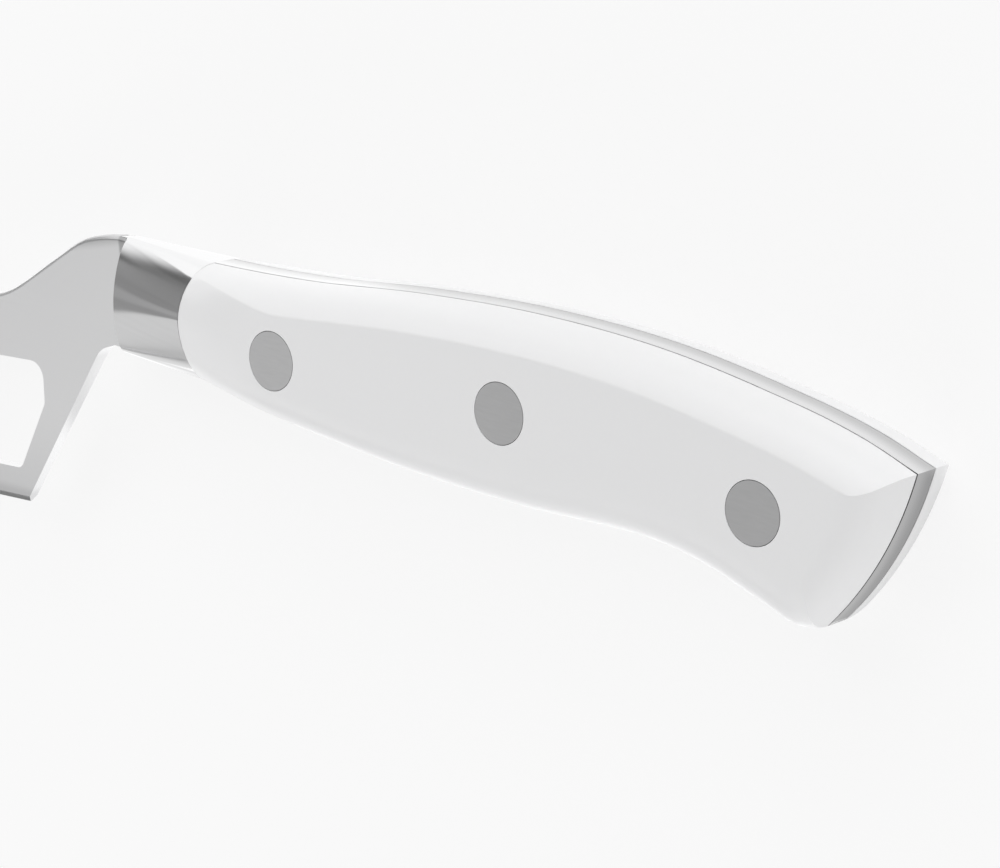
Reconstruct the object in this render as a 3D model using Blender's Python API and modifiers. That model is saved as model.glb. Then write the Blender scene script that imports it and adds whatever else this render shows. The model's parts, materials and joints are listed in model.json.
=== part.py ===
"""Cheese knife: a forged openwork blade, bolster and full tang in one piece, two riveted handle scales.

Units are metres, Z is up. The knife lies on the flat of its right scale. X runs from the tip to the
butt, Y from the cutting edge to the spine. The origin is on that flat, midway between the front and
the middle rivet. All outlines are drawn in the knife's own axes: X from the joint of bolster and
scales, Y from the front rivet, Z from the middle plane of the tang.
"""

from math import asin, cos, hypot, pi, radians, sin, sqrt

import bmesh
import bpy

# Handle
HANDLE_LENGTH = 0.1168
HANDLE_THICKNESS = 0.018
TANG_THICKNESS = 0.0035
FIT_GAP = 0.0003

# Heights of the handle's back over the line of the front and rear rivets, from joint to butt
BACK_AT_JOINT = 0.0085
BACK_AT_FRONT_RIVET = 0.00995
BACK_BEFORE_MIDDLE = 0.0126
BACK_AT_MIDDLE_RIVET = 0.01425
BACK_AFTER_MIDDLE = 0.01425
BACK_AT_REAR_RIVET = 0.01215
BACK_BEFORE_BUTT = 0.01035
BACK_AT_BUTT = 0.008
CORNER_FROM_BUTT = 0.0078

# Depths of the handle's belly under the same line
BELLY_AT_JOINT = 0.0084
BELLY_AT_FRONT_RIVET = 0.0098
BELLY_BEFORE_MIDDLE = 0.0109
BELLY_AT_MIDDLE_RIVET = 0.0108
BELLY_AFTER_MIDDLE = 0.0095
BELLY_BEFORE_REAR = 0.0103
BELLY_AT_REAR_RIVET = 0.0129
BELLY_AT_POMMEL = 0.0142
BELLY_AT_BUTT = 0.0137
POMMEL_FROM_BUTT = 0.013
BUTT_RAKE = 0.0103

# Sections of the scales
CREASE_DROP_AT_JOINT = 0.001
CREASE_DROP_FRONT = 0.0037
CREASE_DROP_REAR = 0.0042
CROWN_POWER = 3.0
BELLY_ROUND_FRONT = 0.0054
BELLY_ROUND_REAR = 0.0078
FULL_WIDTH_FROM_JOINT = 0.008
FRONT_BLEND = 0.018

# Domed butt end: the line of the seam, and the line where the flat side ends
BUTT_SEAM_RADIUS = 0.048
BUTT_SIDE_RADIUS = 0.091
BUTT_SLOPE_TOP = 0.0057
BUTT_SLOPE_BOTTOM = 0.0032
BUTT_DOME_POWER_TOP = 2.4
BUTT_DOME_POWER_BOTTOM = 2.0

# Bolster
BOLSTER_LENGTH = 0.018
BOLSTER_REAR_THICKNESS = 0.0168
BOLSTER_FRONT_THICKNESS = 0.007
BOLSTER_WIDEST_REAR = 0.0015
BOLSTER_WIDEST_FRONT = -0.0006
BOLSTER_CROWN_FRONT = 0.0012
BACK_AT_RIM = 0.0082
BELLY_AT_RIM = 0.0086
RIM_DRAW_BACK = 0.00045
RIM_FILLET = 0.0018

# Blade, in axes turned down by BLADE_DROP, with the cutting edge parallel to its own X axis
BLADE_DROP = radians(6.2)
BLADE_LENGTH = 0.145
BLADE_SPINE_THICKNESS = 0.0025
BLADE_EDGE_THICKNESS = 0.0016
BLADE_TIP_THINNING = 0.0009
EDGE_LEVEL = -0.03204
SPINE_LEVEL = -0.0014
EDGE_BEVEL_HEIGHT = 0.0009
EDGE_LAND = 0.0002
SPINE_ROUND = 0.0007
CUT_MARGIN = 0.0006
CUT_SKIM = 0.00002
CUT_DEPTH = 0.003
HUMP_FROM_JOINT = 0.0185
HUMP_HEIGHT = 0.01015
HUMP_LENGTH = 0.034

# Openings of the blade
OPENING_TOP = -0.01024
OPENING_BOTTOM = -0.02696
FIRST_OPENING_FROM_JOINT = 0.03666
OPENING_COUNT = 3
OPENING_PITCH = 0.0312
STRUT_WIDTH = 0.005
STRUT_LEAN = radians(29.7)
KNEE_LEVEL = -0.0164
OPENING_UPPER_RADIUS = 0.0026
OPENING_LOWER_RADIUS = 0.0015

# Heel and neck
HEEL_FROM_JOINT = 0.04186
HEEL_LEAN = radians(35.4)
NECK_RADIUS = 0.0042

# Forked tip
TIP_RISE = 0.0075
TIP_RISE_RUN = 0.024
TIP_RISE_POWER = 2.6
BELLY_SWEEP = 0.038
BELLY_SWEEP_POWER = 1.29
PRONG_SPREAD = 0.0095
PRONG_STEP = 0.0008
NOTCH_DEPTH = 0.0082
NOTCH_RADIUS = 0.001
PRONG_POINT = 0.0006

# Rivets: a head let into each scale, a tube on the left half and a pin on the right half
FRONT_RIVET_FROM_JOINT = 0.01885
REAR_RIVET_FROM_BUTT = 0.0177
MIDDLE_RIVET_RISE = 0.0025
HEAD_DIAMETER = 0.008
HEAD_DEPTH = 0.0024
TUBE_DIAMETER = 0.005
PIN_DIAMETER = 0.0026
RIVET_END_GAP = 0.001

# Facets
ROUND_SIDES = 48
CROWN_STEPS = 8
SIDE_STEPS = 6
BELLY_STEPS = 10
SCALE_STEP = 0.0028
BOLSTER_RINGS = 5
FILLET_RINGS = 4
ARC_STEPS = 8
ROUND_STEPS = 3
RUN_OUT_STEPS = 5

HALF = HANDLE_THICKNESS / 2
TANG_HALF = TANG_THICKNESS / 2
REAR_RIVET_X = HANDLE_LENGTH - REAR_RIVET_FROM_BUTT
MIDDLE_RIVET_X = (FRONT_RIVET_FROM_JOINT + REAR_RIVET_X) / 2
BEFORE_MIDDLE_X = (FRONT_RIVET_FROM_JOINT + MIDDLE_RIVET_X) / 2
AFTER_MIDDLE_X = (MIDDLE_RIVET_X + REAR_RIVET_X) / 2
BEFORE_REAR_X = (AFTER_MIDDLE_X + REAR_RIVET_X) / 2
BUTT_LOW_X = HANDLE_LENGTH - BUTT_RAKE
PAST_BUTT = HANDLE_LENGTH + 0.006
RIVETS = {
    "front": (FRONT_RIVET_FROM_JOINT, 0.0),
    "middle": (MIDDLE_RIVET_X, MIDDLE_RIVET_RISE),
    "rear": (REAR_RIVET_X, 0.0),
}


# Geometry helpers


def smooth_through(points):
    """The smooth height function that passes through (station, height) points."""
    xs = [x for x, _ in points]
    ys = [y for _, y in points]
    last = len(xs) - 1
    slopes = []
    for i in range(last + 1):
        a, b = max(i - 1, 0), min(i + 1, last)
        slopes.append((ys[b] - ys[a]) / (xs[b] - xs[a]))

    def height(x):
        i = 0
        while i < last - 1 and x > xs[i + 1]:
            i += 1
        span = xs[i + 1] - xs[i]
        t = (x - xs[i]) / span
        if t < 0:
            return ys[0] + slopes[0] * (x - xs[0])
        if t > 1:
            return ys[last] + slopes[last] * (x - xs[last])
        return (
            ys[i] * (1 + 2 * t) * (1 - t) ** 2
            + slopes[i] * span * t * (1 - t) ** 2
            + ys[i + 1] * t * t * (3 - 2 * t)
            + slopes[i + 1] * span * t * t * (t - 1)
        )

    return height


def mix(a, b, share):
    return a + (b - a) * share


def steps(start, end, count):
    return [mix(start, end, i / count) for i in range(count + 1)]


def rounded(corners):
    """A closed outline from (x, y, radius) corners, each radius an arc of points."""
    outline = []
    for i, (x, y, radius) in enumerate(corners):
        px, py, _ = corners[i - 1]
        nx, ny, _ = corners[(i + 1) % len(corners)]
        ax, ay = px - x, py - y
        bx, by = nx - x, ny - y
        a_len, b_len = hypot(ax, ay), hypot(bx, by)
        ax, ay, bx, by = ax / a_len, ay / a_len, bx / b_len, by / b_len
        half_angle = asin(min(1.0, hypot(ax - bx, ay - by) / 2))
        if radius == 0 or half_angle > pi / 2 - 0.01:
            outline.append((x, y))
            continue
        reach = radius * cos(half_angle) / sin(half_angle)
        mx, my = ax + bx, ay + by
        m_len = hypot(mx, my)
        away = radius / sin(half_angle)
        cx, cy = x + mx / m_len * away, y + my / m_len * away
        start = (x + ax * reach - cx, y + ay * reach - cy)
        end = (x + bx * reach - cx, y + by * reach - cy)
        sweep = pi - 2 * half_angle
        for share in steps(0, 1, ARC_STEPS):
            p = sin((1 - share) * sweep) / sin(sweep)
            q = sin(share * sweep) / sin(sweep)
            outline.append((cx + p * start[0] + q * end[0], cy + p * start[1] + q * end[1]))
    return outline


# The handle's outline and sections

back_height = smooth_through(
    [
        (-BOLSTER_LENGTH, BACK_AT_RIM),
        (0.0, BACK_AT_JOINT),
        (FRONT_RIVET_FROM_JOINT, BACK_AT_FRONT_RIVET),
        (BEFORE_MIDDLE_X, BACK_BEFORE_MIDDLE),
        (MIDDLE_RIVET_X, BACK_AT_MIDDLE_RIVET),
        (AFTER_MIDDLE_X, BACK_AFTER_MIDDLE),
        (REAR_RIVET_X, BACK_AT_REAR_RIVET),
        (HANDLE_LENGTH - CORNER_FROM_BUTT, BACK_BEFORE_BUTT),
        (HANDLE_LENGTH, BACK_AT_BUTT),
    ]
)
belly_depth = smooth_through(
    [
        (-BOLSTER_LENGTH, BELLY_AT_RIM),
        (0.0, BELLY_AT_JOINT),
        (FRONT_RIVET_FROM_JOINT, BELLY_AT_FRONT_RIVET),
        (BEFORE_MIDDLE_X, BELLY_BEFORE_MIDDLE),
        (MIDDLE_RIVET_X, BELLY_AT_MIDDLE_RIVET),
        (AFTER_MIDDLE_X, BELLY_AFTER_MIDDLE),
        (BEFORE_REAR_X, BELLY_BEFORE_REAR),
        (REAR_RIVET_X, BELLY_AT_REAR_RIVET),
        (HANDLE_LENGTH - POMMEL_FROM_BUTT, BELLY_AT_POMMEL),
        (BUTT_LOW_X, BELLY_AT_BUTT),
    ]
)
CREASE_ANGLE = radians(54.6)
BELLY_ANGLE = radians(-40)


def oval_section(top, bottom, widest, half, flat, power_up, power_down):
    """Points (y, z) of half an egg-shaped section, from the back to the belly."""
    angles = steps(pi / 2, CREASE_ANGLE, CROWN_STEPS)
    angles += steps(CREASE_ANGLE, BELLY_ANGLE, SIDE_STEPS)[1:]
    angles += steps(BELLY_ANGLE, -pi / 2, BELLY_STEPS)[1:]
    points = []
    for angle in angles:
        up = angle >= 0
        power = 2 / (power_up if up else power_down)
        reach = (top - widest) if up else (bottom - widest)
        y = widest + reach * abs(sin(angle)) ** power
        z = flat + (half - flat) * max(cos(angle), 0.0) ** power
        points.append((y, z))
    return points


def faceted_section(top, bottom, drop, belly_round):
    """Points (y, z) of half a section behind the front rivet: round back, crease, flat side, round belly."""
    height = HALF - TANG_HALF
    points = []
    for level in steps(0, 1, CROWN_STEPS):
        points.append((top - drop * level**CROWN_POWER, TANG_HALF + height * level))
    for y in steps(top - drop, bottom + belly_round, SIDE_STEPS)[1:]:
        points.append((y, HALF))
    for angle in steps(0, pi / 2, BELLY_STEPS)[1:]:
        y = bottom + belly_round * (1 - sin(angle))
        points.append((y, TANG_HALF + height * cos(angle)))
    return points


def joint_section(x):
    """The bolster's oval section, carried on over the front of the scales until it is as thick as they are."""
    share = min(max(x / FULL_WIDTH_FROM_JOINT, 0.0), 1.0)
    return oval_section(
        back_height(x),
        -belly_depth(x),
        BOLSTER_WIDEST_REAR,
        mix(BOLSTER_REAR_THICKNESS / 2, HALF, sin(share * pi / 2)),
        TANG_HALF,
        2.0,
        1.6,
    )


def rim_section():
    return oval_section(
        BACK_AT_RIM,
        -BELLY_AT_RIM,
        BOLSTER_WIDEST_FRONT,
        BOLSTER_FRONT_THICKNESS / 2,
        BOLSTER_CROWN_FRONT / 2,
        1.9,
        2.2,
    )


def blend_sections(first, second, share):
    return [(mix(a, c, share), mix(b, d, share)) for (a, b), (c, d) in zip(first, second)]


def scale_section(x):
    """Half a section of the handle at x, oval at the joint and faceted from FRONT_BLEND on."""
    if x < FRONT_BLEND:
        drop = mix(CREASE_DROP_AT_JOINT, CREASE_DROP_FRONT, x / FRONT_BLEND)
    else:
        drop = mix(CREASE_DROP_FRONT, CREASE_DROP_REAR, (x - FRONT_BLEND) / (HANDLE_LENGTH - FRONT_BLEND))
    belly_round = mix(BELLY_ROUND_FRONT, BELLY_ROUND_REAR, x / HANDLE_LENGTH)
    faceted = faceted_section(back_height(x), -belly_depth(x), drop, belly_round)
    if x >= FRONT_BLEND:
        return faceted
    return blend_sections(joint_section(x), faceted, sin(x / FRONT_BLEND * pi / 2))


# Blender helpers


def new_collection(name):
    collection = bpy.data.collections.new(name)
    bpy.context.scene.collection.children.link(collection)
    return collection


def new_material(name, colour, metallic, roughness):
    material = bpy.data.materials.new(name)
    material.use_nodes = True
    shader = material.node_tree.nodes["Principled BSDF"]
    shader.inputs["Base Color"].default_value = (*colour, 1.0)
    shader.inputs["Metallic"].default_value = metallic
    shader.inputs["Roughness"].default_value = roughness
    material.diffuse_color = (*colour, 1.0)
    return material


def new_object(name, mesh, collection, parent):
    obj = bpy.data.objects.new(name, mesh)
    collection.objects.link(obj)
    obj.parent = parent
    if collection.name == "cutters":
        obj.hide_render = True
        obj.display_type = "WIRE"
    return obj


def loft(name, rings, collection, parent):
    """A closed solid through rings of the same number of (x, y, z) points, capped at both ends."""
    mesh = bmesh.new()
    verts = [[mesh.verts.new(point) for point in ring] for ring in rings]
    count = len(rings[0])
    for near, far in zip(verts, verts[1:]):
        for i in range(count):
            j = (i + 1) % count
            mesh.faces.new((near[i], near[j], far[j], far[i]))
    mesh.faces.new(verts[0])
    mesh.faces.new(verts[-1][::-1])
    bmesh.ops.recalc_face_normals(mesh, faces=mesh.faces)
    data = bpy.data.meshes.new(name)
    mesh.to_mesh(data)
    mesh.free()
    return new_object(name, data, collection, parent)


def plate(name, outlines, half_depth, collection, parent):
    """A flat plate from closed outlines, the first the outer one and the rest its holes."""
    curve = bpy.data.curves.new(name, "CURVE")
    curve.dimensions = "2D"
    curve.fill_mode = "BOTH"
    curve.extrude = half_depth
    for outline in outlines:
        spline = curve.splines.new("POLY")
        spline.points.add(len(outline) - 1)
        for point, (x, y) in zip(spline.points, outline):
            point.co = (x, y, 0.0, 1.0)
        spline.use_cyclic_u = True
    drawn = bpy.data.objects.new(name + "_outline", curve)
    bpy.context.scene.collection.objects.link(drawn)
    graph = bpy.context.evaluated_depsgraph_get()
    data = bpy.data.meshes.new_from_object(drawn.evaluated_get(graph))
    bpy.data.objects.remove(drawn)
    mesh = bmesh.new()
    mesh.from_mesh(data)
    bmesh.ops.remove_doubles(mesh, verts=mesh.verts, dist=1e-6)
    bmesh.ops.recalc_face_normals(mesh, faces=mesh.faces)
    mesh.to_mesh(data)
    mesh.free()
    data.name = name
    return new_object(name, data, collection, parent)


def wrap_cutter(name, stations, collection, parent):
    """A cutter that wraps a plate's rim from both faces along a path.

    Each station is its point on the rim, how far the cutter is clear of it, and the left half of the
    rim's new profile as (outward, z) points, which ends at the rim.
    """
    rings = []
    for i, ((x, y), clear, profile) in enumerate(stations):
        (ax, ay), (bx, by) = stations[max(i - 1, 0)][0], stations[min(i + 1, len(stations) - 1)][0]
        length = hypot(bx - ax, by - ay)
        nx, ny = (by - ay) / length, (ax - bx) / length
        half = [(CUT_MARGIN, CUT_DEPTH), (profile[0][0], CUT_DEPTH), *profile]
        whole = half + [(out, -z) for out, z in reversed(half)]
        rings.append([(x + nx * (out + clear), y + ny * (out + clear), z) for out, z in whole])
    return loft(name, rings, collection, parent)


def cylinder(name, radius, low, high, place, collection, parent):
    mesh = bmesh.new()
    bmesh.ops.create_cone(
        mesh,
        cap_ends=True,
        segments=ROUND_SIDES,
        radius1=radius,
        radius2=radius,
        depth=high - low,
    )
    bmesh.ops.translate(mesh, verts=mesh.verts, vec=(0.0, 0.0, (low + high) / 2))
    data = bpy.data.meshes.new(name)
    mesh.to_mesh(data)
    mesh.free()
    obj = new_object(name, data, collection, parent)
    obj.location = (*place, 0.0)
    return obj


def turned(name, profile, place, collection, parent):
    """A turned solid about the rivet's axis from a (radius, height) profile that runs top to bottom."""
    data = bpy.data.meshes.new(name)
    points = [(radius, 0.0, height) for radius, height in profile]
    data.from_pydata(points, [(i, i + 1) for i in range(len(points) - 1)], [])
    obj = new_object(name, data, collection, parent)
    obj.location = (*place, 0.0)
    screw = obj.modifiers.new("turn", "SCREW")
    screw.axis = "Z"
    screw.steps = ROUND_SIDES
    screw.render_steps = ROUND_SIDES
    screw.use_merge_vertices = True
    screw.merge_threshold = 0.00001
    screw.use_smooth_shade = False
    return obj


def boolean(obj, operation, other):
    modifier = obj.modifiers.new(other.name, "BOOLEAN")
    modifier.operation = operation
    modifier.solver = "EXACT"
    modifier.object = other


def smooth_shade(obj, angle):
    obj.data.shade_smooth()
    obj.data.set_sharp_from_angle(angle=angle)


# Pieces


def ring(x, section, draw_back):
    """A full ring around the knife at x, from one half section, drawn back towards the belly."""
    half = [(x + draw_back * max(-y / BELLY_AT_RIM, 0.0), y, z) for y, z in section]
    return half + [(x, y, -z) for x, y, z in reversed(half)]


def build_bolster(cutters, axis):
    """The oval bolster from a fillet on the blade to its flat rear face at the joint."""
    rim = rim_section()
    buried = BLADE_EDGE_THICKNESS / 2
    rings = []
    for share in steps(1.0, 0.0, FILLET_RINGS)[:-1]:
        rise = 1 - sqrt(1 - (1 - share) ** 2)
        section = [(y * (1 - 0.05 * share), mix(min(buried, z), z, rise)) for y, z in rim]
        rings.append(ring(-BOLSTER_LENGTH - RIM_FILLET * share, section, RIM_DRAW_BACK))
    for share in steps(0.0, 1.0, BOLSTER_RINGS):
        section = blend_sections(rim, joint_section(0.0), share)
        rings.append(ring(-BOLSTER_LENGTH * (1 - share), section, RIM_DRAW_BACK * (1 - share)))
    return loft("bolster_form", rings, cutters, axis)


def build_tang(cutters, axis):
    """The flat tang, which starts inside the bolster and runs on past the butt, where it is cut."""
    inside = 0.006
    stations = steps(0.0, PAST_BUTT, round(PAST_BUTT / SCALE_STEP))
    top = [(x, back_height(x)) for x in stations]
    bottom = [(x, -belly_depth(x)) for x in reversed(stations)]
    root = [(-inside, bottom[-1][1] + inside), (-inside, top[0][1] - inside)]
    return plate("tang_form", [top + bottom + root], TANG_HALF, cutters, axis)


def build_butt_cutter(cutters, axis):
    """What lies behind the domed butt: round along the seam, and sloping back to each flat side."""

    def line_of(top_x, bottom_x, radius):
        top, bottom = BACK_AT_BUTT, -BELLY_AT_BUTT
        run, rise = top_x - bottom_x, top - bottom
        chord = hypot(run, rise)
        reach = sqrt(radius * radius - chord * chord / 4)
        cx = (top_x + bottom_x) / 2 - rise / chord * reach
        cy = (top + bottom) / 2 + run / chord * reach
        return lambda y: cx + sqrt(radius * radius - (y - cy) ** 2)

    seam = line_of(HANDLE_LENGTH, BUTT_LOW_X, BUTT_SEAM_RADIUS)
    side = line_of(
        HANDLE_LENGTH - BUTT_SLOPE_TOP, BUTT_LOW_X - BUTT_SLOPE_BOTTOM, BUTT_SIDE_RADIUS
    )
    margin = 0.006
    heights = steps(BACK_AT_BUTT + margin, -BELLY_AT_POMMEL - margin, 24)
    rings = []
    levels = [0.0, 0.25, 0.42, 0.56, 0.68, 0.78, 0.86, 0.925, 0.97, 0.993, 1.0]
    for level in levels:
        z = mix(TANG_HALF, HALF, level)
        line = []
        for y in heights:
            down = min(max((BACK_AT_BUTT - y) / (BACK_AT_BUTT + BELLY_AT_BUTT), 0.0), 1.0)
            power = mix(BUTT_DOME_POWER_TOP, BUTT_DOME_POWER_BOTTOM, down)
            share = 1 - (1 - level**power) ** (1 / power)
            line.append((mix(seam(y), side(y), share), y, z))
        far = [(PAST_BUTT + margin, y, z) for y in (heights[-1], heights[0])]
        rings.append(line + far)
    outermost = [(x, y, HALF + margin) for x, y, _ in rings[-1]]
    above = rings + [outermost]
    below = [[(x, y, -z) for x, y, z in level] for level in reversed(above)]
    return loft("butt_cutter", below + above, cutters, axis)


def blade_runs():
    """The blade's outer outline in its own axes, as runs: spine, tip, cutting edge and heel, tip first to last."""
    tip_x = -BOLSTER_LENGTH - BLADE_LENGTH
    low_x = -HUMP_FROM_JOINT - HUMP_LENGTH
    spine_line = smooth_through(
        [
            (low_x - 0.004, SPINE_LEVEL),
            (low_x, SPINE_LEVEL),
            (low_x + HUMP_LENGTH * 0.25, mix(SPINE_LEVEL, HUMP_HEIGHT, 0.09)),
            (low_x + HUMP_LENGTH * 0.58, mix(SPINE_LEVEL, HUMP_HEIGHT, 0.61)),
            (low_x + HUMP_LENGTH * 0.75, mix(SPINE_LEVEL, HUMP_HEIGHT, 0.88)),
            (low_x + HUMP_LENGTH * 0.88, mix(SPINE_LEVEL, HUMP_HEIGHT, 0.972)),
            (low_x + HUMP_LENGTH, HUMP_HEIGHT),
        ]
    )
    tip_y = SPINE_LEVEL + TIP_RISE
    prong_x = tip_x + PRONG_SPREAD
    prong_y = tip_y - PRONG_STEP
    spine = [(x, spine_line(x)) for x in steps(-HUMP_FROM_JOINT, low_x, 22)]
    for share in steps(0, 1, 12):
        y = SPINE_LEVEL + (prong_y - SPINE_LEVEL) * share**TIP_RISE_POWER
        spine.append((prong_x + TIP_RISE_RUN * (1 - share), y))

    notch = rounded(
        [
            (prong_x - PRONG_POINT, prong_y, 0.0),
            (mix(tip_x, prong_x, 0.55), tip_y - NOTCH_DEPTH, NOTCH_RADIUS),
            (tip_x + PRONG_POINT, tip_y, 0.0),
        ]
    )
    edge = []
    for angle in steps(0, pi / 2, 22):
        out = 1 - max(cos(angle), 0.0) ** BELLY_SWEEP_POWER
        edge.append((tip_x + BELLY_SWEEP * out, mix(tip_y, EDGE_LEVEL, sin(angle) ** BELLY_SWEEP_POWER)))
    edge.append((-HEEL_FROM_JOINT, EDGE_LEVEL))

    lean = sin(HEEL_LEAN) / cos(HEEL_LEAN)
    neck_y = (BOLSTER_LENGTH * sin(BLADE_DROP) - BELLY_AT_RIM) / cos(BLADE_DROP)
    neck_x = -HEEL_FROM_JOINT + (neck_y - EDGE_LEVEL) * lean
    inside_x = -BOLSTER_LENGTH / 2
    heel = rounded(
        [
            (-HEEL_FROM_JOINT, EDGE_LEVEL, 0.0),
            (neck_x, neck_y, NECK_RADIUS),
            (inside_x, neck_y + NECK_RADIUS, 0.0),
        ]
    )[1:]
    heel.append((-BOLSTER_LENGTH + NECK_RADIUS, HUMP_HEIGHT - NECK_RADIUS))
    heel.append((-BOLSTER_LENGTH, HUMP_HEIGHT - FIT_GAP))
    return spine, notch, edge, heel


def opening_outlines():
    """The blade's openings in its own axes. The first has a knee beside the heel's strut."""
    lean = sin(STRUT_LEAN) / cos(STRUT_LEAN)
    across = STRUT_WIDTH / cos(STRUT_LEAN)
    depth = OPENING_TOP - OPENING_BOTTOM
    right = -FIRST_OPENING_FROM_JOINT
    outlines = []
    for i in range(OPENING_COUNT):
        left = -FIRST_OPENING_FROM_JOINT - OPENING_PITCH * (i + 1) + across
        corners = [
            (right, OPENING_TOP, OPENING_UPPER_RADIUS),
            (left, OPENING_TOP, OPENING_UPPER_RADIUS),
            (left - lean * depth, OPENING_BOTTOM, OPENING_LOWER_RADIUS),
        ]
        if i == 0:
            knee = KNEE_LEVEL - OPENING_BOTTOM
            corners.append((right - lean * knee, OPENING_BOTTOM, OPENING_LOWER_RADIUS))
            corners.append((right, KNEE_LEVEL, OPENING_LOWER_RADIUS))
        else:
            corners.append((right - lean * depth, OPENING_BOTTOM, OPENING_LOWER_RADIUS))
        outlines.append(rounded(corners))
        right = left - across
    return outlines


def half_thickness(x, y):
    """Half the blade's thickness in its own axes: it thins evenly towards the edge and towards the tip."""
    share = (y - EDGE_LEVEL) / (HUMP_HEIGHT - EDGE_LEVEL)
    thinning = BLADE_TIP_THINNING * -(x + BOLSTER_LENGTH) / BLADE_LENGTH
    return (mix(BLADE_EDGE_THICKNESS, BLADE_SPINE_THICKNESS, share) - max(thinning, 0.0)) / 2


def build_blade(parts, cutters, blade_axis):
    """The ground plate of the blade, thinner towards the edge, with its openings."""
    spine, notch, edge, heel = blade_runs()
    outlines = [spine + notch + edge + heel] + opening_outlines()
    blade = plate("blade_and_tang", outlines, BLADE_SPINE_THICKNESS / 2, parts, blade_axis)
    for vertex in blade.data.vertices:
        vertex.co.z = half_thickness(vertex.co.x, vertex.co.y) * (1 if vertex.co.z > 0 else -1)

    bevel = []
    for i, (x, y) in enumerate(edge[2:-1] + [(edge[-1][0] + CUT_MARGIN, edge[-1][1])]):
        clear = EDGE_BEVEL_HEIGHT * max(1 - i / RUN_OUT_STEPS, 0.0)
        thick = half_thickness(x, y + EDGE_BEVEL_HEIGHT)
        over = 1 + CUT_MARGIN / EDGE_BEVEL_HEIGHT
        start = (-EDGE_BEVEL_HEIGHT * over, mix(EDGE_LAND / 2, thick, over))
        bevel.append(((x, y), clear, [start, (-CUT_SKIM, EDGE_LAND / 2)]))
    crown = []
    for i, (x, y) in enumerate(spine[:-3]):
        clear = SPINE_ROUND * max(1 - (len(spine) - 4 - i) / RUN_OUT_STEPS, 0.0)
        thick = half_thickness(x, y)
        profile = [(-SPINE_ROUND - CUT_MARGIN, thick + CUT_SKIM)]
        for angle in steps(0, pi / 2, ROUND_STEPS):
            profile.append((SPINE_ROUND * (sin(angle) - 1) - CUT_SKIM, thick + SPINE_ROUND * (cos(angle) - 1)))
        crown.append(((x, y), clear, profile))
    boolean(blade, "DIFFERENCE", wrap_cutter("edge_bevel", bevel, cutters, blade_axis))
    boolean(blade, "DIFFERENCE", wrap_cutter("spine_round", crown, cutters, blade_axis))
    return blade


def build_scale(name, side, parts, axis):
    """One handle scale. Its side is 1 on the left, away from the surface, and -1 on the right."""
    inner = TANG_HALF + FIT_GAP
    rings = []
    count = round((PAST_BUTT - FIT_GAP) / SCALE_STEP)
    for x in steps(FIT_GAP, PAST_BUTT, count):
        section = scale_section(x)
        rings.append([(x, y, side * max(z, inner)) for y, z in section])
    return loft(name, rings, parts, axis)


def build_rivet(name, place, parts, axis):
    """Both halves of a rivet: the tube half with its head on the left, the pin half with its on the right."""
    head, tube, pin = HEAD_DIAMETER / 2, TUBE_DIAMETER / 2, PIN_DIAMETER / 2
    under_head = HALF - HEAD_DEPTH
    end = under_head - RIVET_END_GAP
    bore = pin + FIT_GAP
    tube_half = turned(
        name + "_rivet_tube",
        [
            (0.0, HALF),
            (head, HALF),
            (head, under_head),
            (tube, under_head),
            (tube, -end),
            (bore, -end),
            (bore, end),
            (0.0, end),
        ],
        place,
        parts,
        axis,
    )
    pin_half = turned(
        name + "_rivet_pin",
        [
            (0.0, end - FIT_GAP),
            (pin, end - FIT_GAP),
            (pin, -under_head),
            (head, -under_head),
            (head, -HALF),
            (0.0, -HALF),
        ],
        place,
        parts,
        axis,
    )
    return tube_half, pin_half


def main():
    for obj in list(bpy.data.objects):
        bpy.data.objects.remove(obj)
    parts = new_collection("cheese_knife")
    cutters = new_collection("cutters")

    axis = bpy.data.objects.new("knife_axis", None)
    parts.objects.link(axis)
    axis.location = (-(FRONT_RIVET_FROM_JOINT + MIDDLE_RIVET_X) / 2, 0.0, HALF)
    blade_axis = bpy.data.objects.new("blade_axis", None)
    parts.objects.link(blade_axis)
    blade_axis.parent = axis
    blade_axis.rotation_euler.z = BLADE_DROP

    satin_steel = new_material("satin_steel", (0.60, 0.60, 0.61), 1.0, 0.32)
    white_plastic = new_material("white_plastic", (0.83, 0.83, 0.83), 0.0, 0.32)
    rivet_steel = new_material("rivet_steel", (0.50, 0.50, 0.51), 1.0, 0.45)

    butt_cutter = build_butt_cutter(cutters, axis)
    blade = build_blade(parts, cutters, blade_axis)
    bolster = build_bolster(cutters, axis)
    tang = build_tang(cutters, axis)
    boolean(tang, "DIFFERENCE", butt_cutter)
    boolean(blade, "UNION", bolster)
    boolean(blade, "UNION", tang)
    blade.data.materials.append(satin_steel)

    scales = {1: build_scale("left_scale", 1, parts, axis), -1: build_scale("right_scale", -1, parts, axis)}
    for side, scale in scales.items():
        boolean(scale, "DIFFERENCE", butt_cutter)
        scale.data.materials.append(white_plastic)

    for name, place in RIVETS.items():
        reach = HALF + 0.002
        hole = TUBE_DIAMETER / 2 + FIT_GAP
        bore = cylinder(name + "_bore", hole, -reach, reach, place, cutters, axis)
        boolean(blade, "DIFFERENCE", bore)
        seat = HEAD_DIAMETER / 2 + FIT_GAP
        depth = HALF - HEAD_DEPTH - FIT_GAP
        for side, scale in scales.items():
            low, high = sorted((side * depth, side * reach))
            pocket = cylinder(f"{name}_pocket_{scale.name}", seat, low, high, place, cutters, axis)
            boolean(scale, "DIFFERENCE", bore)
            boolean(scale, "DIFFERENCE", pocket)
        for half in build_rivet(name, place, parts, axis):
            half.data.materials.append(rivet_steel)
            smooth_shade(half, radians(35))
    for obj in (blade, *scales.values()):
        smooth_shade(obj, radians(25))


main()
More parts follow.
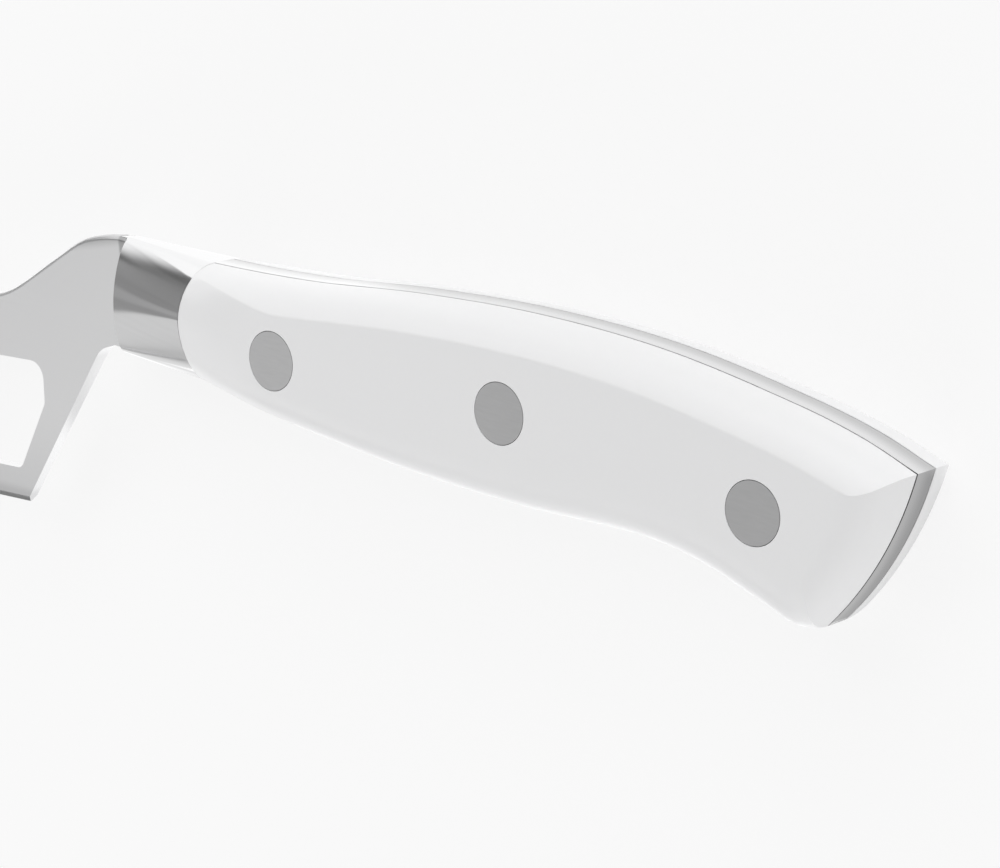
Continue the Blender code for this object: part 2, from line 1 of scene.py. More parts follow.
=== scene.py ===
"""Cheese knife with a riveted white handle, lying on a pale floor.

The knife lies on the flat of its right handle scale. +X runs from the tip to
the butt, +Y from the cutting edge to the spine and +Z up, in metres.
"""

import json
import math

import bpy

from mathutils import Matrix, Vector

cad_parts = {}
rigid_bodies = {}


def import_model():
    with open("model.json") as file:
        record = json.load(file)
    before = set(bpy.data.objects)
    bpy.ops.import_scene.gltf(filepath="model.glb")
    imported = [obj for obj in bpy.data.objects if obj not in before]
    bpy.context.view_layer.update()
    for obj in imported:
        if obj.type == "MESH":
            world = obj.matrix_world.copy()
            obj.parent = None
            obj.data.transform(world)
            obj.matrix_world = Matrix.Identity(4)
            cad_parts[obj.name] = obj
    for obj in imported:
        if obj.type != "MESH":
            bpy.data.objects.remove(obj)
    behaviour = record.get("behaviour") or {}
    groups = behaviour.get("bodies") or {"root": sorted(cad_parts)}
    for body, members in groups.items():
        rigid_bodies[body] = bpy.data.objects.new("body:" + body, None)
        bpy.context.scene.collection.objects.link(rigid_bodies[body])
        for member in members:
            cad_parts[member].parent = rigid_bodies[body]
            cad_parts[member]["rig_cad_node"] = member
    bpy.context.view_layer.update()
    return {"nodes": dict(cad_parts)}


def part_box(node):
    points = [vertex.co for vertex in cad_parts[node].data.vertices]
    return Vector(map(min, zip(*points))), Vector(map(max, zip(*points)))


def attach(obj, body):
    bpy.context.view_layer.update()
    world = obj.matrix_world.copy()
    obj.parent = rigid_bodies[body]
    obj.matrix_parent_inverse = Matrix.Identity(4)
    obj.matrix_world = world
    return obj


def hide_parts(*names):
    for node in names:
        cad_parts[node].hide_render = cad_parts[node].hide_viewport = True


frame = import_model()

# The camera, by its place and its own three axes.
CAMERA_PLACE = (0.27815, 0.120625, 0.323784)
CAMERA_RIGHT = (0.75044766, 0.0645787, -0.65776737)
CAMERA_UP = (-0.23732613, 0.9551709, -0.17698832)
CAMERA_BACK = (0.61685057, 0.28892585, 0.73213197)
CAMERA_LENS = 119.952
SENSOR_WIDTH = 36.0

# The rays that see the background's own tone.
SEEN_RAYS = ["Is Camera Ray", "Is Transmission Ray"]

LAMP_SIZE = 0.9

# The world: what the camera sees, what lights the knife, and what polished surfaces see.
BACKGROUND = 0.93
SKY_LIGHT = 0.446
ROOM = 0.78

# The floor: its paint, what the camera sees of it, how much of its shadow shows, and its own light.
FLOOR_SIDE = 6.0
FLOOR_COLOUR = 0.93
FLOOR_SEEN = 0.985
SHADOW_SHARE = 0.2
FLOOR_BOUNCE = 0.1

# What polished surfaces see in the floor, painted light and shade that only they see: its brightness
# on the belly's side and beyond, with the heights between which it changes, then patches by two
# corners, the width of their soft rim and their brightness, the dark one behind the butt a painted
# shade.
FLOOR_FAR = 0.58
FLOOR_MIDDLE = 0.87
FLOOR_CHANGE = (-0.08, -0.045)
FLOOR_PATCHES = [
    ((-1.2, -0.018), (-0.066, 1.2), 0.014, 1.22),
    ((-0.2, -0.036), (-0.09, 0.0), 0.005, 1.25),
    ((-0.077, -0.056), (-0.06, -0.035), 0.004, 1.25),
    ((-0.066, 0.004), (-0.01, 0.1), 0.01, 1.2),
    ((-0.01, 0.004), (0.1, 0.1), 0.015, 1.0),
    ((-0.035, -0.03), (0.055, -0.008), 0.006, 1.35),
    ((0.066, -0.045), (0.11, 0.002), 0.004, 0.55),
]


# The knife's middle plane, and the distances from it over which the shade painted into the plastic's
# seam fades out.
# The painted shade is deeper where the butt begins, which is measured along the butt's slant.
MIDDLE_Z = 0.009
SEAM_DEPTH = (0.00197, 0.00205)
TOWARDS_BUTT = (0.9, -0.43, 0)
BUTT_START = (0.0645, 0.0662)


def tree_of(material):
    """The material's nodes and links, with its Principled shader and its output."""
    material.use_nodes = True
    nodes = material.node_tree.nodes
    return nodes, material.node_tree.links, nodes["Principled BSDF"], nodes["Material Output"]


def grain(nodes, links, stretch, detail):
    """Noise on the piece's own place, stretched by the given scales along X, Y and Z."""
    place = nodes.new("ShaderNodeTexCoord")
    mapping = nodes.new("ShaderNodeMapping")
    mapping.inputs["Scale"].default_value = stretch
    noise = nodes.new("ShaderNodeTexNoise")
    noise.inputs["Scale"].default_value = 1.0
    noise.inputs["Detail"].default_value = detail
    links.new(place.outputs["Object"], mapping.inputs["Vector"])
    links.new(mapping.outputs["Vector"], noise.inputs["Vector"])
    return noise.outputs["Fac"]


def ramp(nodes, links, value, span, levels):
    """A value carried smoothly from one level to another over a span."""
    node = nodes.new("ShaderNodeMapRange")
    node.interpolation_type = "SMOOTHSTEP"
    node.inputs["From Min"].default_value, node.inputs["From Max"].default_value = span
    node.inputs["To Min"].default_value, node.inputs["To Max"].default_value = levels
    links.new(value, node.inputs["Value"])
    return node.outputs["Result"]


def greys(nodes, links, value, span, dark, light):
    """Colours between two greys, by a value."""
    node = nodes.new("ShaderNodeValToRGB")
    for element, place, grey in zip(node.color_ramp.elements, span, (dark, light)):
        element.position = place
        element.color = (grey, grey, grey * 1.006, 1)
    links.new(value, node.inputs["Fac"])
    return node.outputs["Color"]


def along(nodes, links, direction, span, levels):
    """A level that changes smoothly along a direction of the piece."""
    place = nodes.new("ShaderNodeTexCoord")
    distance = nodes.new("ShaderNodeVectorMath")
    distance.operation = "DOT_PRODUCT"
    distance.inputs[1].default_value = direction
    links.new(place.outputs["Object"], distance.inputs[0])
    return ramp(nodes, links, distance.outputs["Value"], span, levels)


def scaled(nodes, links, colour, share):
    """A colour times a share."""
    node = nodes.new("ShaderNodeVectorMath")
    node.operation = "SCALE"
    links.new(colour, node.inputs[0])
    links.new(share, node.inputs["Scale"])
    return node.outputs[0]


def dimmed(nodes, links, colour, direction, span, levels):
    """A colour dimmed smoothly from one share to another along a direction of the piece, painting
    shade into it.
    """
    return scaled(nodes, links, colour, along(nodes, links, direction, span, levels))


def scratched(nodes, links, shader, value, depth):
    """Fine polishing lines, by a value and their depth."""
    bump = nodes.new("ShaderNodeBump")
    bump.inputs["Strength"].default_value = 1.0
    bump.inputs["Distance"].default_value = depth
    links.new(value, bump.inputs["Height"])
    links.new(bump.outputs["Normal"], shader.inputs["Normal"])


def white_plastic(name, painted_seam_shade, painted_butt_shade):
    """Smooth moulded white plastic, with shade painted into the seam along the tang and round the
    butt.
    """
    material = bpy.data.materials.new(name)
    nodes, links, shader, _ = tree_of(material)
    specks = grain(nodes, links, (1800, 1800, 1800), 2)
    place = nodes.new("ShaderNodeTexCoord")
    apart = nodes.new("ShaderNodeSeparateXYZ")
    links.new(place.outputs["Object"], apart.inputs[0])
    from_middle = nodes.new("ShaderNodeMath")
    from_middle.operation = "SUBTRACT"
    from_middle.inputs[1].default_value = MIDDLE_Z
    links.new(apart.outputs["Z"], from_middle.inputs[0])
    either_side = nodes.new("ShaderNodeMath")
    either_side.operation = "ABSOLUTE"
    links.new(from_middle.outputs[0], either_side.inputs[0])
    # Painted shade: the plastic darkens in the seam beside the tang, and more where the butt begins.
    seam = ramp(nodes, links, either_side.outputs[0], SEAM_DEPTH, (painted_seam_shade, 1.0))
    shade = along(nodes, links, TOWARDS_BUTT, BUTT_START, (painted_seam_shade, painted_butt_shade))
    links.new(shade, seam.node.inputs["To Min"])
    white = greys(nodes, links, specks, (0.2, 0.8), 0.828, 0.835)
    links.new(scaled(nodes, links, white, seam), shader.inputs["Base Color"])
    links.new(ramp(nodes, links, specks, (0.2, 0.8), (0.29, 0.31)), shader.inputs["Roughness"])
    return material


def satin_steel():
    """The blade's stainless steel, with a fine lengthwise grain.

    Painted shade darkens it towards the edge and once more along the bottom strut,
    and painted dark reflections lie at the hump and beside the bolster.
    """
    material = bpy.data.materials.new("satin_steel")
    nodes, links, shader, _ = tree_of(material)
    shader.inputs["Metallic"].default_value = 1.0
    lines = grain(nodes, links, (40, 2200, 2200), 2)
    ground = greys(nodes, links, lines, (0.2, 0.8), 0.793, 0.799)
    # Painted shade and painted dark reflections, by place on the blade.
    ground = dimmed(nodes, links, ground, (0, 1, 0), (-0.045, -0.02), (0.82, 1.0))
    ground = dimmed(nodes, links, ground, (-0.08, 1, 0), (-0.0291, -0.0275), (0.84, 1.0))
    ground = dimmed(nodes, links, ground, (-0.28, 1, 0), (0.0227, 0.0248), (1.0, 0.64))
    ground = dimmed(nodes, links, ground, (1, 0.2, 0), (-0.0575, -0.0569), (1.0, 0.6))
    links.new(ground, shader.inputs["Base Color"])
    links.new(ramp(nodes, links, lines, (0.2, 0.8), (0.275, 0.281)), shader.inputs["Roughness"])
    return material


def polished_steel(name, stretch, far_side_painted_shade):
    """The bolster's or the tang's steel, polished lengthwise, with painted shade of a given depth
    towards its far side.
    """
    material = bpy.data.materials.new(name)
    nodes, links, shader, _ = tree_of(material)
    shader.inputs["Metallic"].default_value = 1.0
    lines = grain(nodes, links, stretch, 4)
    polished = greys(nodes, links, lines, (0.32, 0.68), 0.75, 0.78)
    # Painted shade: darker towards the far side, standing in for a darker reflection there.
    polished = dimmed(nodes, links, polished, (0, 0, 1), (0.0075, 0.0105), (far_side_painted_shade, 1.0))
    links.new(polished, shader.inputs["Base Color"])
    links.new(ramp(nodes, links, lines, (0.3, 0.7), (0.09, 0.11)), shader.inputs["Roughness"])
    scratched(nodes, links, shader, lines, 0.00000012)
    return material


def rivet_steel():
    """Rivet heads ground flush with the plastic, with painted shade that grows darker towards the
    butt.
    """
    material = bpy.data.materials.new("rivet_steel")
    nodes, links, shader, _ = tree_of(material)
    shader.inputs["Metallic"].default_value = 1.0
    lines = grain(nodes, links, (400, 2600, 2600), 3)
    head = greys(nodes, links, lines, (0.3, 0.7), 0.545, 0.585)
    # Painted shade: the heads grow darker towards the butt.
    head = dimmed(nodes, links, head, (1, 0, 0), (-0.025, 0.045), (1.03, 0.84))
    links.new(head, shader.inputs["Base Color"])
    links.new(ramp(nodes, links, lines, (0.3, 0.7), (0.36, 0.44)), shader.inputs["Roughness"])
    return material


def make_camera():
    """A camera at the photograph's angle."""
    data = bpy.data.cameras.new("camera")
    data.sensor_width = SENSOR_WIDTH
    data.lens = CAMERA_LENS
    data.clip_start = 0.01
    data.clip_end = 50
    camera = bpy.data.objects.new("camera", data)
    axes = Matrix((CAMERA_RIGHT, CAMERA_UP, CAMERA_BACK)).transposed()
    camera.matrix_world = Matrix.Translation(CAMERA_PLACE) @ axes.to_4x4()
    bpy.context.scene.collection.objects.link(camera)
    bpy.context.scene.camera = camera


def flat_to_rays(nodes, links, lit, seen, ray_names):
    """Mixes two shaders so that the named kinds of ray see the second one."""
    path = nodes.new("ShaderNodeLightPath")
    share = path.outputs[ray_names[0]]
    for name in ray_names[1:]:
        either = nodes.new("ShaderNodeMath")
        either.operation = "MAXIMUM"
        links.new(share, either.inputs[0])
        links.new(path.outputs[name], either.inputs[1])
        share = either.outputs[0]
    mix = nodes.new("ShaderNodeMixShader")
    links.new(share, mix.inputs["Fac"])
    links.new(lit, mix.inputs[1])
    links.new(seen, mix.inputs[2])
    return mix.outputs[0]


def product(nodes, links, first, second):
    """Two values multiplied."""
    node = nodes.new("ShaderNodeMath")
    node.operation = "MULTIPLY"
    links.new(first, node.inputs[0])
    links.new(second, node.inputs[1])
    return node.outputs[0]


def background_shader(nodes, colour, strength):
    """A grey of the world."""
    shader = nodes.new("ShaderNodeBackground")
    shader.inputs["Color"].default_value = (colour, colour, colour, 1)
    shader.inputs["Strength"].default_value = strength
    return shader.outputs[0]


def emission_shader(nodes, colour, strength):
    """A grey that a surface shows whatever lights it."""
    shader = nodes.new("ShaderNodeEmission")
    shader.inputs["Color"].default_value = (colour, colour, colour, 1)
    shader.inputs["Strength"].default_value = strength
    return shader.outputs[0]


def make_world():
    """An even soft sky. The camera sees it as the pale background, and metal sees a darker room."""
    world = bpy.data.worlds.new("studio")
    bpy.context.scene.world = world
    world.use_nodes = True
    nodes = world.node_tree.nodes
    links = world.node_tree.links
    nodes.clear()
    output = nodes.new("ShaderNodeOutputWorld")
    light = background_shader(nodes, 1.0, SKY_LIGHT)
    room = background_shader(nodes, ROOM, 1.0)
    seen = background_shader(nodes, BACKGROUND, 1.0)
    shown = flat_to_rays(nodes, links, light, room, ["Is Glossy Ray"])
    shown = flat_to_rays(nodes, links, shown, seen, SEEN_RAYS)
    links.new(shown, output.inputs["Surface"])


def make_floor():
    """A pale floor that keeps a faint shadow, and that metal sees as a bright sweep of paper."""
    bpy.ops.mesh.primitive_plane_add(size=FLOOR_SIDE, location=(0, 0, -0.0001))
    floor = bpy.context.object
    floor.name = "floor"
    material = bpy.data.materials.new("floor_paint")
    nodes, links, shader, output = tree_of(material)
    shader.inputs["Base Color"].default_value = (FLOOR_COLOUR, FLOOR_COLOUR, FLOOR_COLOUR, 1)
    shader.inputs["Roughness"].default_value = 1.0
    shader.inputs["Specular IOR Level"].default_value = 0.0
    seen = emission_shader(nodes, FLOOR_SEEN, 1.0)
    paper = emission_shader(nodes, 1.0, 1.0)
    bounce = nodes.new("ShaderNodeAddShader")
    links.new(shader.outputs[0], bounce.inputs[0])
    links.new(emission_shader(nodes, 1.0, FLOOR_BOUNCE), bounce.inputs[1])
    place = nodes.new("ShaderNodeTexCoord")
    apart = nodes.new("ShaderNodeSeparateXYZ")
    links.new(place.outputs["Object"], apart.inputs[0])
    level = ramp(nodes, links, apart.outputs["Y"], FLOOR_CHANGE, (FLOOR_FAR, FLOOR_MIDDLE))
    for low, high, soft, strength in FLOOR_PATCHES:
        inside = None
        for axis, start, end in (("X", low[0], high[0]), ("Y", low[1], high[1])):
            for span, levels in (((start - soft, start), (0, 1)), ((end, end + soft), (1, 0))):
                edge = ramp(nodes, links, apart.outputs[axis], span, levels)
                inside = edge if inside is None else product(nodes, links, inside, edge)
        patch = nodes.new("ShaderNodeMix")
        links.new(inside, patch.inputs["Factor"])
        links.new(level, patch.inputs["A"])
        patch.inputs["B"].default_value = strength
        level = patch.outputs["Result"]
    links.new(level, paper.node.inputs["Strength"])
    shown = flat_to_rays(nodes, links, bounce.outputs[0], paper, ["Is Glossy Ray"])
    shadowed = nodes.new("ShaderNodeMixShader")
    shadowed.inputs["Fac"].default_value = SHADOW_SHARE
    links.new(seen, shadowed.inputs[1])
    links.new(shader.outputs[0], shadowed.inputs[2])
    shown = flat_to_rays(nodes, links, shown, shadowed.outputs[0], SEEN_RAYS)
    links.new(shown, output.inputs["Surface"])
    floor.data.materials.append(material)


def grid_rows(grid, across):
    """The points of a grid row by row, from its lowest row up."""
    points = sorted(grid.data.vertices, key=lambda vertex: (round(vertex.co.y, 3), vertex.co.x))
    return [points[start : start + across] for start in range(0, len(points), across)]


def seen_from(distance, azimuth, height):
    """The place at a distance, an azimuth and a height over the horizon, both in degrees."""
    angle = math.radians(azimuth)
    rise = math.tan(math.radians(height))
    return distance * Vector((math.cos(angle), math.sin(angle), rise))


def hide_from_all_but_polish(card):
    """Only polished surfaces see this card, and it neither lights nor shades anything else."""
    card.visible_camera = False
    card.visible_diffuse = False
    card.visible_shadow = False
    card.visible_transmission = False


def make_card(name, distance, rows, brightness):
    """A card round the knife that only polished surfaces see, from rows of (height, from, to)."""
    bpy.ops.mesh.primitive_grid_add(x_subdivisions=1, y_subdivisions=len(rows) - 1)
    card = bpy.context.object
    card.name = name
    for points, (height, start, end) in zip(grid_rows(card, 2), rows):
        for vertex, azimuth in zip(points, (start, end)):
            vertex.co = seen_from(distance, azimuth, height)
    hide_from_all_but_polish(card)
    material = bpy.data.materials.new(name)
    nodes, links, shader, output = tree_of(material)
    links.new(emission_shader(nodes, 1.0, brightness), output.inputs["Surface"])
    card.data.materials.append(material)


def make_surroundings(centre, distance, rows):
    """A curved sheet that only polished surfaces see, shaded softly from point to point.

    Each row is its height and its points, every point an azimuth and a brightness.
    """
    across = len(rows[0][1])
    bpy.ops.mesh.primitive_grid_add(x_subdivisions=across - 1, y_subdivisions=len(rows) - 1)
    sheet = bpy.context.object
    sheet.name = "surroundings"
    shade = sheet.data.color_attributes.new("brightness", "FLOAT_COLOR", "POINT")
    for points, (height, columns) in zip(grid_rows(sheet, across), rows):
        for vertex, (azimuth, brightness) in zip(points, columns):
            vertex.co = Vector(centre) + seen_from(distance, azimuth, height)
            shade.data[vertex.index].color = (brightness, brightness, brightness, 1)
    hide_from_all_but_polish(sheet)
    material = bpy.data.materials.new("surroundings")
    nodes, links, shader, output = tree_of(material)
    glow = emission_shader(nodes, 1.0, 1.0)
    painted = nodes.new("ShaderNodeVertexColor")
    painted.layer_name = "brightness"
    links.new(painted.outputs["Color"], glow.node.inputs["Color"])
    links.new(glow, output.inputs["Surface"])
    sheet.data.materials.append(material)


def seen_row(edge, core, soft, dark, light):
    """What stands round the knife at one height, by azimuth and brightness.

    White comes first, then a dark screen with a soft edge and a darkest core, a paler streak in it,
    and a light wall.
    """
    return [
        (edge - 2.8 * soft, 1.24),
        (edge - 1.4 * soft, 1.03),
        (edge - 0.6 * soft, 0.7),
        (edge, 0.4),
        (core, 0.08),
        (core + 2, 0.1),
        (core + 4, 0.23),
        (core + 6, dark),
        (188.6, dark),
        (190, dark + 0.12),
        (193, dark + 0.13),
        (194.4, dark + 0.06),
        (197.9, dark + 0.06),
        (199.6, light),
        (221.5, light),
    ]


def make_lamp(name, place, power):
    """A soft square lamp that points at the knife and that metal doesn't mirror."""
    data = bpy.data.lights.new(name, "AREA")
    data.shape = "SQUARE"
    data.size = LAMP_SIZE
    data.energy = power
    lamp = bpy.data.objects.new(name, data)
    lamp.location = place
    lamp.visible_glossy = False
    lamp.rotation_mode = "QUATERNION"
    lamp.rotation_quaternion = (-Vector(place)).to_track_quat("-Z", "Y")
    bpy.context.scene.collection.objects.link(lamp)


bpy.context.scene.view_settings.view_transform = "Standard"
make_camera()
make_world()
make_floor()
make_lamp("high_key_lamp", (0.0, 0.9, 0.9), 3.75)
make_lamp("low_key_lamp", (0.0, 1.2, 0.2), 5.6)
make_lamp("fill_lamp", (0.0, -1.2, 0.2), 7.7)
make_lamp("butt_lamp", (1.2, 0.0, 0.2), 4.0)
make_lamp("tip_lamp", (-1.1, -0.3, 0.44), 4.3)
make_card("white_card", 2.0, [(-3, 90, 172), (40, 90, 172)], 1.24)
make_card("low_dark_card", 1.3, [(-3, 222, 250), (16, 222, 250)], 0.15)
make_card("upper_grey_card", 1.3, [(24, 160, 196), (50, 150, 188)], 0.4)
surroundings = [
    (-4, seen_row(145.4, 146.2, 1, 0.27, 0.58)),
    (-0.8, seen_row(147.6, 148.4, 1, 0.27, 0.62)),
    (2, seen_row(149, 149.8, 1.1, 0.27, 0.69)),
    (7.1, seen_row(152.4, 153.2, 1.6, 0.27, 0.74)),
    (11.2, seen_row(155.3, 156.8, 2.5, 0.27, 0.745)),
    (15.8, seen_row(161.5, 163.2, 2.9, 0.3, 0.75)),
    (18.9, seen_row(168, 170.6, 4.3, 0.38, 0.76)),
    (23, seen_row(174.5, 177, 4, 0.4, 0.78)),
]
make_surroundings((-0.048, 0.0, 0.014), 1.2, surroundings)


def mix(a, b, share):
    """The number a share of the way from one to another."""
    return a + (b - a) * share


def steps(start, end, count):
    """Even steps from one number to another, both included."""
    return [mix(start, end, i / count) for i in range(count + 1)]


# Where the knife's pieces lie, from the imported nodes: the joint of bolster and scales, the front rim
# of the bolster, the fillet in front of it, and the rivets.
SCALE_START = 0.0003
BOLSTER_LENGTH = 0.018
JOINT_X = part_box("left_scale")[0].x - SCALE_START
RIM_X = JOINT_X - BOLSTER_LENGTH
FILLET = 0.0018
RIVET_PLACES = [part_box(f"{name}_rivet_tube") for name in ("front", "middle", "rear")]
RIVET_PLACES = [(low + high) / 2 for low, high in RIVET_PLACES]

# Distances from the middle plane: the handle's flat side, the tang's side, the scale's inner side.
HALF = 0.009
TANG_HALF = 0.00175
INNER = 0.00195

# The handle's outline from the joint: heights of its back, and of its belly, over the rivet line.
BACK = [
    (-0.018, 0.0082),
    (0.0, 0.0085),
    (0.01885, 0.00995),
    (0.038925, 0.0126),
    (0.059, 0.01425),
    (0.0790375, 0.01425),
    (0.0991, 0.01215),
    (0.109, 0.01035),
    (0.1168, 0.008),
]
BELLY = [
    (-0.018, -0.0086),
    (0.0, -0.0084),
    (0.01885, -0.0098),
    (0.038925, -0.0109),
    (0.059, -0.0108),
    (0.0790375, -0.0095),
    (0.08907, -0.0103),
    (0.0991, -0.0129),
    (0.1038, -0.0142),
    (0.1065, -0.0137),
]
HANDLE_LENGTH = 0.1168
BUTT_TOP = BACK[-1]
BUTT_BOTTOM = BELLY[-1]

# The domed butt: radii of its seam and of the line where the flat side ends, and the run between.
BUTT_SEAM_RADIUS = 0.048
BUTT_SIDE_RADIUS = 0.091
BUTT_SLOPE_TOP = 0.0057
BUTT_SLOPE_BOTTOM = 0.0032

# The oval front turns into the creased section over the first stretch, by these angles of the oval,
# and the crease is a little rounded.
FRONT_BLEND = 0.018
CREASE_ANGLE = math.radians(54.6)
BELLY_ANGLE = math.radians(-40)
CREASE_ROUND = 0.018

# Stations round the scale's outside: to 1 over the crown, to 2 down the side, to 3 under the belly.
AROUND = steps(0, 0.9, 12) + [0.935, 0.96, 0.975, 0.985, 0.995, 1.005, 1.015, 1.025, 1.04, 1.065]
AROUND += steps(1.1, 2, 9) + steps(2, 3, 18)[1:]


def start_edit(piece):
    """Edit mode on this piece alone, with nothing selected."""
    bpy.ops.object.select_all(action="DESELECT")
    piece.select_set(True)
    bpy.context.view_layer.objects.active = piece
    bpy.ops.object.mode_set(mode="EDIT")
    bpy.ops.mesh.select_mode(type="VERT")
    bpy.ops.mesh.select_all(action="DESELECT")


def select_points(piece, wanted):
    """Selects the points whose place passes the test, from edit mode."""
    bpy.ops.object.mode_set(mode="OBJECT")
    for vertex in piece.data.vertices:
        vertex.select = wanted(vertex.co)
    bpy.ops.object.mode_set(mode="EDIT")


def copy_of(node, name):
    """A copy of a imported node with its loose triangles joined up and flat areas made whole."""
    bpy.ops.object.select_all(action="DESELECT")
    source = frame["nodes"][node]
    source.select_set(True)
    bpy.context.view_layer.objects.active = source
    bpy.ops.object.duplicate()
    piece = bpy.context.object
    piece.name = piece.data.name = name
    del piece["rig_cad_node"]
    piece.data.materials.clear()
    start_edit(piece)
    bpy.ops.mesh.select_all(action="SELECT")
    bpy.ops.mesh.remove_doubles(threshold=0.000002)
    bpy.ops.mesh.dissolve_limited(angle_limit=math.radians(0.5))
    bpy.ops.mesh.select_all(action="DESELECT")
    bpy.ops.object.mode_set(mode="OBJECT")
    return piece


def apply_modifier(piece, kind, **settings):
    """Adds a modifier with these settings and applies it."""
    bpy.ops.object.select_all(action="DESELECT")
    piece.select_set(True)
    bpy.context.view_layer.objects.active = piece
    bpy.ops.object.modifier_add(type=kind)
    modifier = piece.modifiers[-1]
    for setting, value in settings.items():
        setattr(modifier, setting, value)
    bpy.ops.object.modifier_apply(modifier=modifier.name)


def finish_surface(piece, angle):
    """Smooth curved faces, flat faces that stay flat to the light, and crisp corners."""
    bpy.ops.object.select_all(action="DESELECT")
    piece.select_set(True)
    bpy.context.view_layer.objects.active = piece
    bpy.ops.object.shade_smooth_by_angle(angle=math.radians(angle))
    apply_modifier(piece, "WEIGHTED_NORMAL", keep_sharp=True, weight=60)


def stand_for(piece, material, slot, *nodes):
    """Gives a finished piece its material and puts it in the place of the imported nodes."""
    piece.data.materials.append(material)
    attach(piece, "root")
    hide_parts(*nodes)


def through(points, x):
    """The height at x of a smooth line through (station, height) points."""
    last = len(points) - 1
    i = 0
    while i < last - 1 and x > points[i + 1][0]:
        i += 1
    slopes = []
    for k in (i, i + 1):
        (ax, ay), (bx, by) = points[max(k - 1, 0)], points[min(k + 1, last)]
        slopes.append((by - ay) / (bx - ax))
    (x0, y0), (x1, y1) = points[i], points[i + 1]
    span = x1 - x0
    t = (x - x0) / span
    if t > 1:
        return y1 + slopes[1] * (x - x1)
    return (
        y0 * (1 + 2 * t) * (1 - t) ** 2
        + slopes[0] * span * t * (1 - t) ** 2
        + y1 * t * t * (3 - 2 * t)
        + slopes[1] * span * t * t * (t - 1)
    )


def oval_point(x, around):
    """A point of the oval section at the front of the scale."""
    if around < 1:
        angle = mix(math.pi / 2, CREASE_ANGLE, around)
    elif around < 2:
        angle = mix(CREASE_ANGLE, BELLY_ANGLE, around - 1)
    else:
        angle = mix(BELLY_ANGLE, -math.pi / 2, around - 2)
    widest = 0.0015
    half = mix(0.0084, HALF, math.sin(min(x / 0.008, 1) * math.pi / 2))
    if angle >= 0:
        power, reach = 1.0, through(BACK, x) - widest
    else:
        power, reach = 1.25, through(BELLY, x) - widest
    y = widest + reach * abs(math.sin(angle)) ** power
    return y, TANG_HALF + (half - TANG_HALF) * max(math.cos(angle), 0) ** power


def faceted_point(x, around):
    """A point of the section behind the front rivet: curved crown, flat side and round belly."""
    top, bottom = through(BACK, x), through(BELLY, x)
    if x < FRONT_BLEND:
        drop = mix(0.001, 0.0037, x / FRONT_BLEND)
    else:
        drop = mix(0.0037, 0.0042, (x - FRONT_BLEND) / (HANDLE_LENGTH - FRONT_BLEND))
    belly_round = mix(0.0054, 0.0078, x / HANDLE_LENGTH)
    height = HALF - TANG_HALF
    if around < 1:
        return top - drop * around**3, TANG_HALF + height * around
    if around < 2:
        return mix(top - drop, bottom + belly_round, around - 1), HALF
    angle = (around - 2) * math.pi / 2
    return bottom + belly_round * (1 - math.sin(angle)), TANG_HALF + height * math.cos(angle)


def scale_point(x, around):
    """A point (y, z) of the scale's outside, with the crease below its crown a little rounded."""
    y = z = 0
    for offset, weight in ((-CREASE_ROUND, 0.25), (0, 0.5), (CREASE_ROUND, 0.25)):
        place = around + offset if 0.9 < around < 1.1 else around
        py, pz = faceted_point(x, place)
        if x < FRONT_BLEND:
            oy, oz = oval_point(x, place)
            share = math.sin(x / FRONT_BLEND * math.pi / 2)
            py, pz = mix(oy, py, share), mix(oz, pz, share)
        y += weight * py
        z += weight * pz
    return y, max(z, INNER)


def butt_line(y, top, bottom, radius):
    """Where an arc between two points of the butt lies at the height y."""
    run, rise = top[0] - bottom[0], top[1] - bottom[1]
    chord = math.hypot(run, rise)
    reach = math.sqrt(radius**2 - chord**2 / 4)
    centre_x = (top[0] + bottom[0]) / 2 - rise / chord * reach
    centre_y = (top[1] + bottom[1]) / 2 + run / chord * reach
    return centre_x + math.sqrt(radius**2 - (y - centre_y) ** 2)


def butt_dome(y, z):
    """How far back the domed butt lies at a height y and a distance z from the middle plane."""
    seam = butt_line(y, BUTT_TOP, BUTT_BOTTOM, BUTT_SEAM_RADIUS)
    side_top = (BUTT_TOP[0] - BUTT_SLOPE_TOP, BUTT_TOP[1])
    side_bottom = (BUTT_BOTTOM[0] - BUTT_SLOPE_BOTTOM, BUTT_BOTTOM[1])
    side = butt_line(y, side_top, side_bottom, BUTT_SIDE_RADIUS)
    down = min(max((BUTT_TOP[1] - y) / (BUTT_TOP[1] - BUTT_BOTTOM[1]), 0), 1)
    power = mix(2.4, 2.0, down)
    level = min(max((z - TANG_HALF) / (HALF - TANG_HALF), 0), 1)
    return mix(seam, side, 1 - (1 - level**power) ** (1 / power))


def scale_rings():
    """Rings of points from the scale's front to its butt, then over the domed butt to the seam."""
    ends = []
    for around in AROUND:
        x = 0.11
        for _ in range(30):
            y, z = scale_point(x, around)
            x = butt_dome(y, z)
        ends.append((x, y, z))
    rings = []
    for share in steps(0, 1, 84):
        outside, inside = [], []
        for around, (end_x, end_y, _) in zip(AROUND, ends):
            x = mix(SCALE_START, end_x, share)
            y, z = scale_point(x, around)
            outside.append((x, y, z))
            inside.append((mix(SCALE_START, butt_dome(end_y, INNER), share), y, INNER))
        rings.append(outside + inside[-2:0:-1])
    for angle in steps(0, math.pi / 2, 16)[1:]:
        outside = []
        for _, y, z in ends:
            z = INNER + (z - INNER) * math.cos(angle)
            outside.append((butt_dome(y, z), y, z))
        rings.append(outside + rings[-1][len(AROUND):])
    return [[(JOINT_X + x, y, MIDDLE_Z + z) for x, y, z in ring] for ring in rings]


